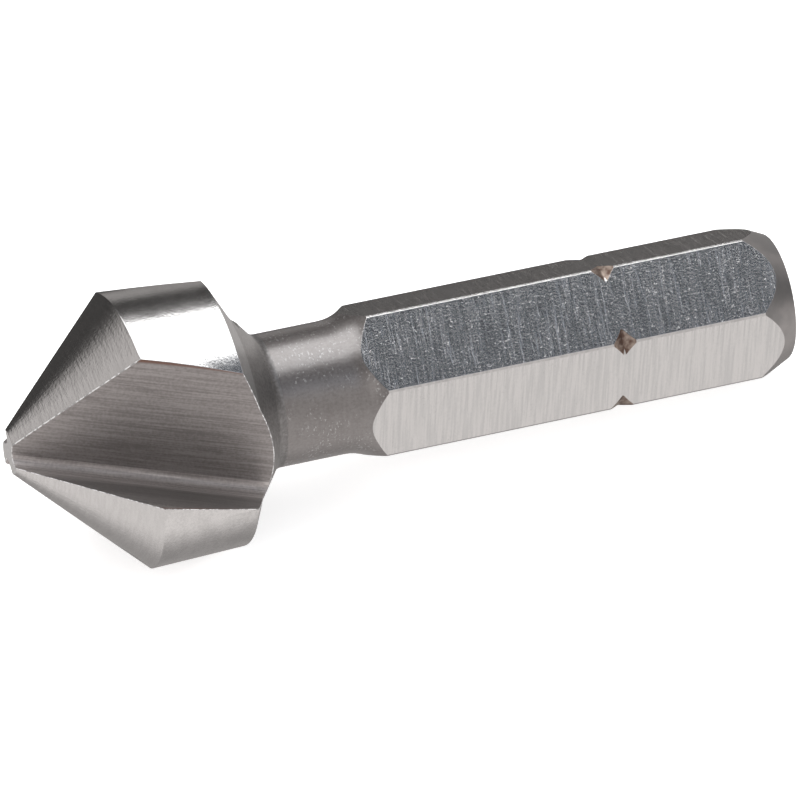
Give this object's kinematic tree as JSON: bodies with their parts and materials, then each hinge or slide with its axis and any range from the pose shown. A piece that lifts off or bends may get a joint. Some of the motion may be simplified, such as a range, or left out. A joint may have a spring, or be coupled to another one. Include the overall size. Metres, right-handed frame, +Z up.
{
  "type": "countersink bit",
  "caption": "Solid steel countersink bit: a short fluted conical cutting head on a round neck, with a hexagonal drive end that has catch notches across its corners.",
  "frame": {"origin": "middle of the footprint, on the surface that the bit lies on", "axes": "+X runs from the cutting tip toward the drive end, level with the surface; the bit's own axis leaves +X by 4.1 degrees in the XZ plane, lower at the drive end; +Z is up"},
  "size_m": [0.036, 0.0123, 0.0119],
  "materials": {
    "steel": "satin"
  },
  "bodies": {
    "root": {"countersink_bit": "steel"}
  },
  "joints": []
}
